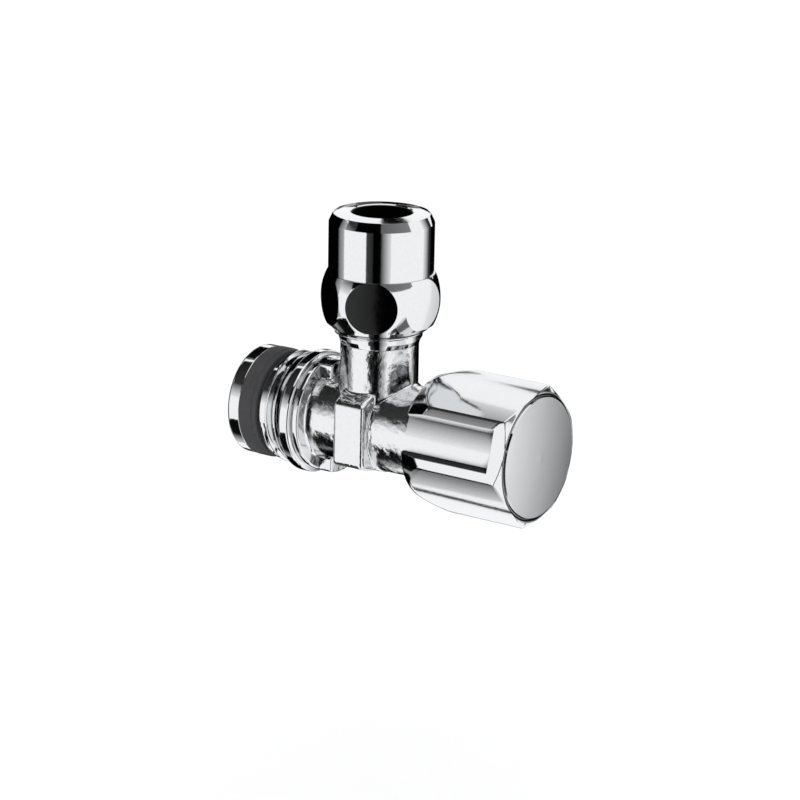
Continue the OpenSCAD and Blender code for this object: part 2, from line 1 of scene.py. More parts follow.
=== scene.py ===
# %% [markdown]
# # Angle stop valve
# An angle stop valve joins a wall pipe to the thin pipe of a tap. Its brass elbow is cast, turned where
# it has threads, and chrome plated. A long nut clamps the 10 mm pipe on top, and a plated plastic knob
# closes the valve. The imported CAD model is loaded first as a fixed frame. It says where everything is
# and how it moves, and the cells below give each visible part its real surface.
# %% Load the frame
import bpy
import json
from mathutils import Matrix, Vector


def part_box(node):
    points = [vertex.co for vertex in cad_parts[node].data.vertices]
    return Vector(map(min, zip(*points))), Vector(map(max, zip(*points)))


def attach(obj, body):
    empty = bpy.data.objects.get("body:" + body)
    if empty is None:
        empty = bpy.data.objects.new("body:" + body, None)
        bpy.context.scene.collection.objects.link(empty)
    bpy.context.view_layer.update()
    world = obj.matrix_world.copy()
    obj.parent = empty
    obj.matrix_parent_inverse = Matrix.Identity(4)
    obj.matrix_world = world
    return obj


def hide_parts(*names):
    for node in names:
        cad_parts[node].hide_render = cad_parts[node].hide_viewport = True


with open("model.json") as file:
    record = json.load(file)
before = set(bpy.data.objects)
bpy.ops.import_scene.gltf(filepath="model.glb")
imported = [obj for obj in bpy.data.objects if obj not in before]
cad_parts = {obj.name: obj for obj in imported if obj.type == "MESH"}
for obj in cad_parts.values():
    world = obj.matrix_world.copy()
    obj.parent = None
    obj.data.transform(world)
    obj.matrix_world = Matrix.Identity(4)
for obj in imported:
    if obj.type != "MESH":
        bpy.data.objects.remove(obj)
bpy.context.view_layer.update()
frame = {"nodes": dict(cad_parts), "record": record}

# %% Libraries and the scale
import json
from math import atan2, cos, hypot, pi, radians, sin, sqrt, tan

import bmesh
import bpy
from mathutils import Matrix, Vector

MM = 0.001
SAME_POINT = 0.001 * MM  # points closer than this are one point
scene = bpy.context.scene
scene.view_settings.view_transform = "Standard"


def along_x(radius, place, angle=0.0):
    """A point about the valve axis. Angle 0 is the side that faces -Y, and it grows towards the top."""
    return Vector((place, -radius * cos(angle), radius * sin(angle)))


print("one millimetre is", MM, "in the scene, which is in metres")

# %% [markdown]
# ## Sizes
# Blender works in metres, so each size is written in millimetres times MM. Ends that the CAD model
# already fixes are read from its boxes, and the rest are the sizes a machinist would have on the drawing.
# %% Sizes read from the frame
body_low, body_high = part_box("valve_body")
nut_low, nut_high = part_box("compression_nut")
knob_low, knob_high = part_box("knob_shell")
cap_low, cap_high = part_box("knob_cap")
seal_low, seal_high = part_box("inlet_seal_ring")
INLET_END = body_low.x
BRANCH_END = body_high.x
OUTLET_TOP = body_high.z
OUTLET_X = (nut_low.x + nut_high.x) / 2
print(f"outlet axis {OUTLET_X / MM:.2f} mm from the wall, its mouth {OUTLET_TOP / MM:.2f} mm up")

# %% Sizes from the drawing
INLET_THREAD_R = 10.4775 * MM
INLET_ROOT_R = 9.32 * MM
INLET_PITCH = 1.814 * MM
INLET_BORE_R = 5.0 * MM
SEAL_R = seal_high.z
FLANGE_R = body_high.y
FLANGE_W = 2.4 * MM
STEP_END = 3.9 * MM
STEP_R = 10.6 * MM
NECK_R = 8.3 * MM
OUTLET_NECK_R = 7.15 * MM
OUTLET_THREAD_R = 8.331 * MM
OUTLET_ROOT_R = 7.475 * MM
OUTLET_PITCH = 1.337 * MM
SOCKET_R = 5.08 * MM
NUT_BALL_R = 10.9 * MM
NUT_FLAT = 9.8 * MM
NUT_BARREL_R = 9.59 * MM
NUT_HOLE_R = 5.4 * MM
NUT_HEX_Z = 24.0 * MM
NUT_HEX_HALF = 4.67 * MM
NUT_TURN = radians(-4.7)
KNOB_R = 13.2 * MM
KNOB_FLAT = 11.6 * MM
KNOB_SIDE = 12.4 * MM
KNOB_SIDE_BULGE_R = 33.0 * MM
FLAT_CROWN_R = 35 * MM
RECESS_CROWN_R = 20 * MM
RECESS_HALF = radians(17.6)
KNOB_RECESS_FLOOR = 10.2 * MM
KNOB_TURN = radians(16)
CAP_R = 11.25 * MM
print(f"nut {2 * NUT_FLAT / MM:.1f} mm across its flats, knob {2 * KNOB_R / MM:.1f} mm across its corners")

# %% [markdown]
# ## Nodes and colours
# A material is a small graph of nodes. One function adds a node with its settings and links, so that each
# recipe below reads as a list of its steps. Colours are the sRGB hex values a paint chart gives, and
# one function turns them into the linear numbers that the renderer adds up.
# %% Material helpers
def hex_colour(text):
    """Turns an sRGB hex colour into linear red, green, blue and alpha."""
    def linear(part):
        value = int(part, 16) / 255
        return value / 12.92 if value <= 0.04045 else ((value + 0.055) / 1.055) ** 2.4
    return (*(linear(text[i:i + 2]) for i in (1, 3, 5)), 1.0)


def add(material, kind, settings=None, **inputs):
    """Adds a shader node. Inputs are numbers, colours or another node's output socket."""
    node = material.node_tree.nodes.new("ShaderNode" + kind)
    for name, value in (settings or {}).items():
        setattr(node, name, value)
    for name, value in inputs.items():
        socket = node.inputs[name.replace("_", " ")]
        if isinstance(value, bpy.types.NodeSocket):
            material.node_tree.links.new(value, socket)
        else:
            socket.default_value = value
    return node


def new_material(name):
    """A material with an empty graph but for its output."""
    material = bpy.data.materials.new(name)
    material.use_nodes = True
    material.node_tree.nodes.clear()
    return material


def finish_material(material, **inputs):
    """Ends a graph in one Principled surface."""
    surface = add(material, "BsdfPrincipled", **inputs)
    output = add(material, "OutputMaterial")
    material.node_tree.links.new(surface.outputs["BSDF"], output.inputs["Surface"])
    return material


def grain(material, size, detail=3.0):
    """A noise pattern whose blotches are about this wide, in object space."""
    place = add(material, "TexCoord").outputs["Object"]
    return add(material, "TexNoise", Vector=place, Scale=1 / size, Detail=detail).outputs["Fac"]


def spread(material, value, low, high, source=(0.3, 0.7)):
    """Maps a pattern onto a range of numbers."""
    return add(material, "MapRange", Value=value, From_Min=source[0], From_Max=source[1],
               To_Min=low, To_Max=high).outputs["Result"]


def bump(material, height, depth, **under):
    """Turns a height pattern into a normal, over another normal if one is given. Depth is its real height."""
    return add(material, "Bump", Height=height, Distance=depth, **under).outputs["Normal"]


def blend_colour(material, factor, first, second):
    """Mixes two colours by a pattern. Each is a hex colour or another node's output socket."""
    first, second = (hex_colour(shade) if isinstance(shade, str) else shade for shade in (first, second))
    return add(material, "Mix", {"data_type": "RGBA"}, Factor=factor, A=first, B=second).outputs["Result"]


print("a mid grey, #808080, is", round(hex_colour("#808080")[0], 3), "in linear light")

# %% [markdown]
# ## Chrome
# Chrome plate is a mirror about a micrometre thick, and it copies whatever lies beneath. On the turned nut
# that is polished brass, so only a faint waviness shows. On the casting the moulding sand leaves an
# orange-peel skin. On the knob it is moulded plastic, the smoothest of the three. Each has the same
# pale, slightly blue metal, and its own roughness and relief. A flat grey colour with no relief would
# look like paint, because the eye reads chrome by how its reflections bend. So one recipe bends them with
# two noise patterns. An Ambient Occlusion node finds the narrow gaps, and shade is painted into the colour
# there, near black, for the dark neighbour that a mirror sees in a gap. Inside the nut's hole the gloss is
# rougher and the colour is painted near black as shade, and the distance from its axis says where that
# starts.
# %% Chrome finishes
def distance_from_outlet(material):
    """How far a point lies from the outlet axis."""
    place = add(material, "TexCoord").outputs["Object"]
    across = add(material, "VectorMath", {"operation": "MULTIPLY_ADD"})
    material.node_tree.links.new(place, across.inputs[0])
    across.inputs[1].default_value = (1, 1, 0)
    across.inputs[2].default_value = (-OUTLET_X, 0, 0)
    length = add(material, "VectorMath", {"operation": "LENGTH"}, Vector=across.outputs["Vector"])
    return length.outputs["Value"]


def chrome(name, rough, peel, peel_depth, wave, wave_depth, gap=1.0 * MM, gap_shade_range=(0.22, 0.62),
           bore_shade_radius=None):
    """Plate over a base with a fine peel, a long wave, painted shade in narrow gaps and, if asked, painted
    shade and a rougher gloss in the bore.
    """
    material = new_material(name)
    fine = grain(material, peel)
    long_wave = grain(material, wave, detail=1.0)
    relief = bump(material, long_wave, wave_depth, Normal=bump(material, fine, peel_depth))
    polish = spread(material, fine, rough * 0.75, rough * 1.35)
    tone = blend_colour(material, fine, "#DDDFE1", "#E7E8E9")
    # Painted shade: the colour goes near black where the Ambient Occlusion finds a narrow gap.
    openness = add(material, "AmbientOcclusion", {"samples": 8}, Distance=gap).outputs["AO"]
    tone = blend_colour(material, spread(material, openness, 0, 1, gap_shade_range), "#0A0A0B", tone)
    # Painted shade: near black inside the bore, where the gloss is also rougher.
    if bore_shade_radius:
        reach = distance_from_outlet(material)
        plated = spread(material, reach, 0, 1, (bore_shade_radius - 0.05 * MM, bore_shade_radius + 0.05 * MM))
        tone = blend_colour(material, plated, "#0C0B0A", tone)
        gloss = add(material, "Mix", {"data_type": "FLOAT"}, Factor=plated, A=0.6, B=polish)
        polish = gloss.outputs["Result"]
    return finish_material(material, Base_Color=tone, Metallic=1.0, Roughness=polish, Normal=relief)


# The peel of the nut and of the knob is finer on the real valve. It is drawn about half a millimetre
# wide here, so that it still shows from a metre away.
# The turned plate is painted near black as shade inside the nut's bore.
turned_chrome = chrome("chrome_on_turned_brass", 0.07, 0.5 * MM, 0.002 * MM, 6 * MM, 0.02 * MM,
                       bore_shade_radius=5.62 * MM)
cast_chrome = chrome("chrome_on_cast_brass", 0.12, 0.9 * MM, 0.07 * MM, 2.6 * MM, 0.14 * MM)
# The knob's longer gap reach paints shade along the walls of its slots and round its cap.
knob_chrome = chrome("chrome_on_moulded_abs", 0.09, 0.4 * MM, 0.001 * MM, 9 * MM, 0.02 * MM,
                     gap=2.4 * MM, gap_shade_range=(0.5, 0.76))
print("chrome finishes:", [finish.name for finish in (turned_chrome, cast_chrome, knob_chrome)])

# %% [markdown]
# ## The other finishes
# The sealing band is a matte grey plastic that grips the wall thread. Rubber, brass and steel show only
# inside, through the pipe hole and the inlet. A bare Principled surface would do for those, but a fine
# grain in the colour, the gloss and the relief is what tells a moulded surface from a machined one, so
# one recipe gives each its own. The grain is drawn a few tenths of a millimetre wide. The real one is
# finer on all but the band, and would not show.
# %% Soft, brass, steel and plastic finishes
def plain(name, colour, light, rough, size, depth, metallic=0.0):
    """A surface with a fine grain in its colour, its gloss and its relief."""
    material = new_material(name)
    fleck = grain(material, size)
    return finish_material(material, Base_Color=blend_colour(material, fleck, colour, light),
                           Metallic=metallic, Roughness=spread(material, fleck, rough * 0.85, rough * 1.15),
                           Normal=bump(material, fleck, depth))


seal_grey = plain("matte_sealing_plastic", "#2C2C2E", "#464648", 0.62, 0.6 * MM, 0.05 * MM)
black_rubber = plain("moulded_epdm_rubber", "#161617", "#222224", 0.55, 0.3 * MM, 0.01 * MM)
bare_brass = plain("machined_brass", "#C9A258", "#D8B56C", 0.24, 0.4 * MM, 0.004 * MM, 1.0)
bright_steel = plain("zinc_plated_steel", "#B4B6BA", "#C4C6C9", 0.28, 0.4 * MM, 0.004 * MM, 1.0)
white_acetal = plain("moulded_acetal", "#E4E2DA", "#ECEAE3", 0.42, 0.5 * MM, 0.004 * MM)

FINISHES = {
    "cast_chrome": cast_chrome, "turned_chrome": turned_chrome, "plated_plastic": knob_chrome,
    "seal_band": seal_grey, "black_rubber": black_rubber, "brass": bare_brass, "steel": bright_steel,
    "white_plastic": white_acetal,
}
for part in frame["record"]["subparts"]:
    mesh = frame["nodes"][part["node"]].data
    mesh.materials.clear()
    mesh.materials.append(FINISHES[part["material_slot"]])

# %% [markdown]
# ## Making a piece
# Most of this valve is turned, so one helper spins an outline round an axis, as a lathe does. The outline
# is a closed loop of radius and place. Blender's cylinders and a stack of booleans could make the same
# shapes, but one outline holds every step and every round edge at once. Another helper makes the mesh an
# object, shades it smooth except at its real edges, and ties it to the CAD body it rides on.
# %% Mesh helpers
X_AXIS = Vector((1, 0, 0))
Z_AXIS = Vector((0, 0, 1))


def centre_of(axis):
    """A point on the valve axis or on the outlet axis."""
    return Vector((0, 0, 0)) if axis == X_AXIS else Vector((OUTLET_X, 0, 0))


def outline_points(outline, axis):
    """Places radius-and-place pairs in the plane that the lathe starts from."""
    if axis == X_AXIS:
        return [along_x(radius, place) for radius, place in outline]
    return [Vector((OUTLET_X + radius, 0, place)) for radius, place in outline]


def loop_of(bm, points):
    """A closed loop of edges through the points."""
    corners = [bm.verts.new(point) for point in points]
    return corners, [bm.edges.new((corners[i - 1], corners[i])) for i in range(len(corners))]


def points_in(geometry):
    """Only the vertices of what an operator gives back."""
    return [part for part in geometry if isinstance(part, bmesh.types.BMVert)]


def open_edges(bm):
    """How many edges don't join exactly two faces. A closed mesh has none."""
    return sum(not edge.is_manifold for edge in bm.edges)


def turn(bm, outline, axis, steps=192, sectors=6):
    """Spins a closed outline round one axis through a sector, and copies that sector all the way round."""
    corners, edges = loop_of(bm, outline_points(outline, axis))
    centre = centre_of(axis)
    bmesh.ops.spin(bm, geom=corners + edges, cent=centre, axis=axis, angle=2 * pi / sectors,
                   steps=steps // sectors, use_merge=False)
    sector = bm.verts[:] + bm.edges[:] + bm.faces[:]
    for number in range(1, sectors):
        copy = bmesh.ops.duplicate(bm, geom=sector)["geom"]
        bmesh.ops.rotate(bm, cent=centre, matrix=Matrix.Rotation(2 * pi * number / sectors, 3, axis),
                         verts=points_in(copy))
    bmesh.ops.remove_doubles(bm, verts=bm.verts, dist=SAME_POINT)
    bmesh.ops.dissolve_degenerate(bm, edges=bm.edges, dist=SAME_POINT / 2)
    bmesh.ops.recalc_face_normals(bm, faces=bm.faces)


def rounded(outline, radius, parts=4):
    """Rounds each corner of an outline. A corner's third number is its own radius, and 0 leaves it sharp."""
    done = []
    for i, corner in enumerate(outline):
        here = Vector(corner[:2])
        reach = corner[2] if len(corner) > 2 else radius
        before = Vector(outline[i - 1][:2]) - here
        after = Vector(outline[(i + 1) % len(outline)][:2]) - here
        turn_by = before.angle(after)
        if reach == 0 or turn_by > pi - 0.02:
            done.append(tuple(here))
            continue
        back = min(reach / tan(turn_by / 2), before.length * 0.48, after.length * 0.48)
        start, end = here + before.normalized() * back, here + after.normalized() * back
        for k in range(parts + 1):
            t = k / parts
            done.append(tuple(start * (1 - t) ** 2 + here * 2 * t * (1 - t) + end * t ** 2))
    return done

def linked(name, bm):
    """Makes a finished mesh a plain object in the scene."""
    mesh = bpy.data.meshes.new(name)
    bm.to_mesh(mesh)
    bm.free()
    piece = bpy.data.objects.new(name, mesh)
    scene.collection.objects.link(piece)
    return piece


def make(name, bm, body, slot, edge_angle=35, weighted=True):
    """Makes a finished mesh an object of the valve."""
    piece = linked(name, bm)
    mesh = piece.data
    mesh.materials.append(FINISHES[slot])
    mesh.shade_smooth()
    mesh.set_sharp_from_angle(angle=radians(edge_angle))
    if weighted:
        normals = piece.modifiers.new("even_shading", "WEIGHTED_NORMAL")
        normals.keep_sharp = True
    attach(piece, body)
    print(f"{name}: {len(mesh.polygons)} faces on {body}")
    return piece


square = rounded([(0, 0), (1, 0), (1, 1), (0, 1)], 0.2)
print("a square with round corners has", len(square), "points")

# %% [markdown]
# ## Threads
# A thread is a ridge wound round a core. The Screw modifier could wind it too, but it can't sink the ends.
# The spin operator also moves along its axis at each step, which turns a circle into a helix, so a small
# rounded cross-section becomes the whole thread. At both ends the ridge then sinks into the core over a
# part of a turn, as a cutting tool leaves it.
# %% A helical thread ridge
def thread(bm, crest, root, pitch, start, turns, axis, fade=0.35, steps=96):
    """Adds a right-hand thread ridge of this many turns to a mesh."""
    sunk = root - 0.12 * MM
    shoulder = crest - 0.12 * MM
    foot_edge = root + (crest - root) * 0.1
    half = pitch * 0.44
    rise = [(sunk, -half), (foot_edge, -half * 0.86), (shoulder, -half * 0.30), (crest, -half * 0.12)]
    section = rise + [(radius, -place) for radius, place in reversed(rise)]
    ridge = bmesh.new()
    points = outline_points([(radius, start + place) for radius, place in section], axis)
    corners, edges = loop_of(ridge, points)
    centre = centre_of(axis)
    total = round(turns * steps)
    end = bmesh.ops.spin(ridge, geom=corners + edges, cent=centre, axis=axis, dvec=axis * (pitch / steps),
                         angle=2 * pi * turns, steps=total, use_merge=False)["geom_last"]
    ridge.faces.new(corners)
    ridge.faces.new(points_in(end))
    ridge.verts.ensure_lookup_table()
    for number, vert in enumerate(ridge.verts):
        step = number // len(section)
        share = min(step, total - step) / (fade * steps)
        if share < 1:
            foot = centre + (vert.co - centre).project(axis)
            arm = vert.co - foot
            height = sunk + max(arm.length - sunk, 0) * sin(share * pi / 2)
            vert.co = foot + arm.normalized() * height
    bmesh.ops.recalc_face_normals(ridge, faces=ridge.faces)
    wound = bpy.data.meshes.new("ridge")
    ridge.to_mesh(wound)
    ridge.free()
    bm.from_mesh(wound)
    bpy.data.meshes.remove(wound)


print(f"inlet pitch {INLET_PITCH / MM} mm, outlet pitch {OUTLET_PITCH / MM} mm")

# %% [markdown]
# ## Inlet end
# The end that screws into the wall is turned from the casting: a plain collar, a groove for the sealing
# band, the pipe thread, then the round bead and the stepped ring of the flange. Separate rings would leave
# seams between them, so it is one rounded outline, spun once, and the thread is wound on top.
# %% Inlet end with its thread
SHARP = 0.0
SMALL_ROUND = 0.18 * MM
SEAL_SEAT_R = SEAL_R - 1.5 * MM
COLLAR_R = INLET_THREAD_R - 0.28 * MM
GROOVE_START = seal_low.x - 0.02 * MM
GROOVE_END = seal_high.x + 0.02 * MM
INNER_END = 8.0 * MM
THREAD_START = seal_high.x + 0.75 * MM
inlet_outline = rounded([
    (INLET_BORE_R, INNER_END, SHARP), (INLET_BORE_R, INLET_END + 0.5 * MM),
    (INLET_BORE_R + 0.5 * MM, INLET_END), (COLLAR_R, INLET_END, 0.6 * MM),
    (COLLAR_R, GROOVE_START), (SEAL_SEAT_R, GROOVE_START),
    (SEAL_SEAT_R, GROOVE_END), (INLET_ROOT_R, GROOVE_END),
    (INLET_ROOT_R, 0, 0.3 * MM), (FLANGE_R, 0, 0.55 * MM), (FLANGE_R, FLANGE_W - 0.15 * MM, 0.9 * MM),
    (STEP_R - 0.25 * MM, FLANGE_W, 0.2 * MM), (STEP_R, FLANGE_W + 0.35 * MM, 0.2 * MM),
    (STEP_R, STEP_END - 0.1 * MM, 0.45 * MM), (NECK_R + 0.35 * MM, STEP_END, 0.25 * MM),
    (NECK_R - 0.2 * MM, STEP_END + 0.45 * MM, SHARP), (NECK_R - 0.6 * MM, STEP_END + 0.5 * MM, SHARP),
    (NECK_R - 0.6 * MM, INNER_END, SHARP)], SMALL_ROUND)
bm = bmesh.new()
turn(bm, inlet_outline, X_AXIS)
thread(bm, INLET_THREAD_R, INLET_ROOT_R, INLET_PITCH, THREAD_START, 2.7, X_AXIS)
inlet_end = make("body_inlet_end", bm, "root", "turned_chrome")

# %% [markdown]
# ## Sealing band
# A ring of soft plastic sits in the groove, and it stands a little proud of the collar, so the wall thread
# bites into it. A torus would be too round and a bevelled tube too even: its face has one step, and its
# edges aren't equally round. So it is spun too, from an outline whose corners have their own radii.
# %% Sealing band
BAND_IN_R = SEAL_SEAT_R + 0.03 * MM
BAND_STEP_R = SEAL_R - 0.22 * MM
band_outline = rounded([
    (BAND_IN_R, seal_low.x, SHARP), (SEAL_R, seal_low.x, 0.25 * MM),
    (SEAL_R, seal_high.x - 1.1 * MM, 0.5 * MM), (BAND_STEP_R, seal_high.x - 0.9 * MM, 0.3 * MM),
    (BAND_STEP_R, seal_high.x, 0.25 * MM), (BAND_IN_R, seal_high.x, SHARP)], SMALL_ROUND)
bm = bmesh.new()
turn(bm, band_outline, X_AXIS)
seal_band = make("sealing_band", bm, "root", "seal_band")
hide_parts("inlet_seal_ring")

# %% [markdown]
# ## Cast elbow
# The middle of the valve is cast: two round necks that cross, a block with a flat pad on each side, and
# two wrench lugs behind the flange. A casting has no sharp inside corners. Bevelling the crossing of two
# cylinders by hand is slow and rarely clean. So the shapes are set into one another, remeshed as a single
# skin and smoothed, which rounds every join as molten metal does. The waterways are then cut through it
# with sharp edges, as a drill cuts them after casting.
# %% Casting sizes
CAST_START = 3.2 * MM
CAST_TOP = 16.4 * MM
BLOCK_HALF = 3.3 * MM
PAD_Y = 9.8 * MM
PAD_TOP = 5.45 * MM
PAD_LOW = 6.0 * MM
BLOCK_TOP = PAD_TOP + 1.9 * MM
BLOCK_LOW = PAD_LOW + 1.4 * MM
BLOCK_LOW_Y = 0.56 * PAD_Y
LUG_R = 10.7 * MM
LUG_ROOT = 6.0 * MM
LUG_END = 6.5 * MM
LUG_HALF = 3.5 * MM
CUT_PAST = 1.0 * MM  # how far a cutting tool reaches past the end of the metal
SEAT_X = 11.0 * MM
SEAT_HOLE_R = 4.2 * MM
SEAT_RIM_R = SEAT_HOLE_R + 0.8 * MM
SEAT_FLOOR = SEAT_X - 0.6 * MM
CHAMBER_R = 6.1 * MM
CHAMBER_END = OUTLET_X + 5 * MM
BONNET_BORE_R = 7.03 * MM
BONNET_MOUTH_R = 7.4 * MM
OUTLET_BORE_R = 3.8 * MM
OUTLET_BORE_LOW = 4.6 * MM
print(f"cast block {2 * BLOCK_HALF / MM:.1f} mm long, pads {2 * PAD_Y / MM:.1f} mm apart")


# %% Casting helpers
def rod(bm, radius, start, end, axis, segments=160):
    """Adds a closed cylinder along the valve axis or the outlet axis."""
    middle = (start + end) / 2
    place = Matrix.Translation((OUTLET_X, 0, middle))
    if axis == X_AXIS:
        place = Matrix.Translation((middle, 0, 0)) @ Matrix.Rotation(pi / 2, 4, "Y")
    bmesh.ops.create_cone(bm, cap_ends=True, segments=segments, radius1=radius, radius2=radius,
                          depth=end - start, matrix=place)


def prism(bm, outline, start, end, edge=0):
    """Adds a straight bar along the valve axis from an outline of Y and Z places."""
    corners = [bm.verts.new((start, y, z)) for y, z in outline]
    face = bm.faces.new(corners)
    moved = points_in(bmesh.ops.extrude_face_region(bm, geom=[face])["geom"])
    bmesh.ops.translate(bm, vec=(end - start, 0, 0), verts=moved)
    if edge:
        edges = list({rim for corner in corners + moved for rim in corner.link_edges})
        bmesh.ops.bevel(bm, geom=edges, offset=edge, offset_type="OFFSET", segments=3, profile=0.5,
                        affect="EDGES", clamp_overlap=True, material=-1)


def as_object(name, bm):
    """A plain object with its faces outwards, for a modifier to work on or with."""
    bmesh.ops.recalc_face_normals(bm, faces=bm.faces)
    return linked(name, bm)


def applied(piece):
    """The piece's mesh with its modifiers carried out, as a new bmesh; the helper object goes."""
    result = piece.evaluated_get(bpy.context.evaluated_depsgraph_get()).to_mesh()
    bm = bmesh.new()
    bm.from_mesh(result)
    bpy.data.objects.remove(piece)
    return bm


# %% Cast skin
bm = bmesh.new()
rod(bm, NECK_R, CAST_START - 1.5 * MM, BRANCH_END, X_AXIS)
rod(bm, NECK_R + 0.25 * MM, OUTLET_X - BLOCK_HALF, OUTLET_X + BLOCK_HALF, X_AXIS)
rod(bm, OUTLET_NECK_R, 0, CAST_TOP, Z_AXIS)
right_half = [(OUTLET_NECK_R, BLOCK_TOP), (PAD_Y, PAD_TOP), (PAD_Y, -PAD_LOW), (BLOCK_LOW_Y, -BLOCK_LOW)]
block = right_half + [(-y, z) for y, z in reversed(right_half)]
prism(bm, block, OUTLET_X - BLOCK_HALF, OUTLET_X + BLOCK_HALF, edge=0.55 * MM)
for side in (-1, 1):
    lug_top = [(LUG_R * sin(radians(t)), side * LUG_R * cos(radians(t))) for t in range(-19, 20, 2)]
    prism(bm, [(-LUG_HALF, side * LUG_ROOT)] + lug_top + [(LUG_HALF, side * LUG_ROOT)],
          CAST_START - 1.5 * MM, LUG_END)
casting = as_object("casting", bm)
skin = casting.modifiers.new("one_skin", "REMESH")
skin.mode = "VOXEL"
skin.voxel_size = 0.2 * MM
soft = casting.modifiers.new("cast_corners", "SMOOTH")
soft.factor = 0.5
soft.iterations = 6
print("shapes in the casting:", len(casting.data.polygons), "faces before they are remeshed")

# %% Drill the waterways
bm = bmesh.new()
turn(bm, [(0, CAST_START - 3 * MM), (INLET_BORE_R + 2.2 * MM, CAST_START - 3 * MM),
          (INLET_BORE_R + 2.2 * MM, CAST_START), (INLET_BORE_R, CAST_START),
          (INLET_BORE_R, INNER_END), (SEAT_HOLE_R, INNER_END), (SEAT_HOLE_R, SEAT_X),
          (SEAT_RIM_R, SEAT_X), (SEAT_RIM_R, SEAT_FLOOR), (CHAMBER_R, SEAT_FLOOR),
          (CHAMBER_R, CHAMBER_END), (BONNET_BORE_R, CHAMBER_END), (BONNET_BORE_R, BRANCH_END - 0.4 * MM),
          (BONNET_MOUTH_R, BRANCH_END + CUT_PAST), (0, BRANCH_END + CUT_PAST)], X_AXIS, steps=96)
drilled = as_object("drilled", bm)
bm = bmesh.new()
rod(bm, OUTLET_BORE_R, OUTLET_BORE_LOW, CAST_TOP + 2 * CUT_PAST, Z_AXIS, 96)
bored = as_object("bored", bm)
for tool in (drilled, bored):
    cut = casting.modifiers.new("cut_" + tool.name, "BOOLEAN")
    cut.operation = "DIFFERENCE"
    cut.object = tool
    cut.solver = "MANIFOLD"
bm = applied(casting)
for tool in (drilled, bored):
    bpy.data.objects.remove(tool)
print("casting:", len(bm.verts), "points, open edges:", open_edges(bm))
elbow = make("body_casting", bm, "root", "cast_chrome", edge_angle=50, weighted=False)
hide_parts("valve_body")
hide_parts("valve_body")

# %% [markdown]
# ## Outlet
# Above the casting the outlet is turned: a short cone, the 3/8 inch pipe thread, and inside it the socket
# that the pipe slides into, with a cone at the mouth for the clamp ring. It shows only when the nut is
# unscrewed, but it is spun and threaded like the inlet, because a plain tube would give the valve away.
# %% Outlet with its thread
SOCKET_FLOOR = OUTLET_TOP - 10 * MM
MOUTH_CONE = 1.8 * MM
OUTLET_START = CAST_TOP - 1.2 * MM
outlet_outline = rounded([
    (OUTLET_BORE_R, OUTLET_START, SHARP), (OUTLET_NECK_R - 0.25 * MM, OUTLET_START, SHARP),
    (OUTLET_NECK_R + 0.05 * MM, CAST_TOP - 0.75 * MM, 0.2 * MM),
    (OUTLET_ROOT_R, CAST_TOP + 0.15 * MM, 0.2 * MM), (OUTLET_ROOT_R, OUTLET_TOP - 0.3 * MM),
    (OUTLET_ROOT_R - 0.3 * MM, OUTLET_TOP), (SOCKET_R + MOUTH_CONE, OUTLET_TOP),
    (SOCKET_R, OUTLET_TOP - MOUTH_CONE), (SOCKET_R, SOCKET_FLOOR, SHARP),
    (OUTLET_BORE_R, SOCKET_FLOOR)], SMALL_ROUND)
bm = bmesh.new()
turn(bm, outlet_outline, Z_AXIS)
thread(bm, OUTLET_THREAD_R, OUTLET_ROOT_R, OUTLET_PITCH, CAST_TOP + 0.35 * MM, 9.4, Z_AXIS, steps=64)
outlet = make("body_outlet", bm, "root", "turned_chrome")
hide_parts("valve_body")

# %% [markdown]
# ## Compression nut
# The nut is turned from hexagon bar. Its corners are turned to a ball, so each flat ends in a round
# outline, and a long plain barrel rises above it to a chamfered mouth. A hexagon with bevelled corners
# would end in straight lines. So it starts here as a round blank with the ball on it, and six planes cut
# the flats, which leaves the round outlines by itself. A small bevel then breaks their edges.
# %% Nut blank
NUT_BORE_R = 8.421 * MM
NUT_CHAMBER_R = 7.6 * MM
NUT_CHAMBER_LOW = OUTLET_TOP + 0.6 * MM
NUT_SHOULDER = 35.4 * MM
NUT_CHAMFER_IN = 0.87 * MM
NUT_CHAMFER_DOWN = 1.87 * MM
HOLE_CHAMFER = 0.4 * MM
BALL_STEPS = 28
ball = []
for i in range(BALL_STEPS + 1):
    height = NUT_HEX_HALF - 2 * NUT_HEX_HALF * i / BALL_STEPS
    ball.append((sqrt(NUT_BALL_R ** 2 - height ** 2), NUT_HEX_Z + height))
barrel = [(NUT_BARREL_R - NUT_CHAMFER_IN, nut_high.z, 0.08 * MM),
          (NUT_BARREL_R, nut_high.z - NUT_CHAMFER_DOWN, 0.08 * MM),
          (NUT_BARREL_R, NUT_HEX_Z + NUT_HEX_HALF, SHARP)]
foot = [(NUT_BORE_R + 0.8 * MM, NUT_HEX_Z - NUT_HEX_HALF), (NUT_BORE_R + 0.55 * MM, nut_low.z),
        (NUT_BORE_R + 0.35 * MM, nut_low.z)]
inside = [(NUT_BORE_R, nut_low.z + 0.4 * MM), (NUT_BORE_R, NUT_CHAMBER_LOW),
          (NUT_CHAMBER_R, NUT_CHAMBER_LOW), (NUT_CHAMBER_R, NUT_SHOULDER), (NUT_HOLE_R, NUT_SHOULDER),
          (NUT_HOLE_R, nut_high.z - HOLE_CHAMFER), (NUT_HOLE_R + HOLE_CHAMFER, nut_high.z)]
bm = bmesh.new()
turn(bm, rounded(barrel + ball[:1], 0, 3)[:-1] + ball + foot + inside, Z_AXIS, steps=180)
print("nut blank:", len(bm.faces), "faces")

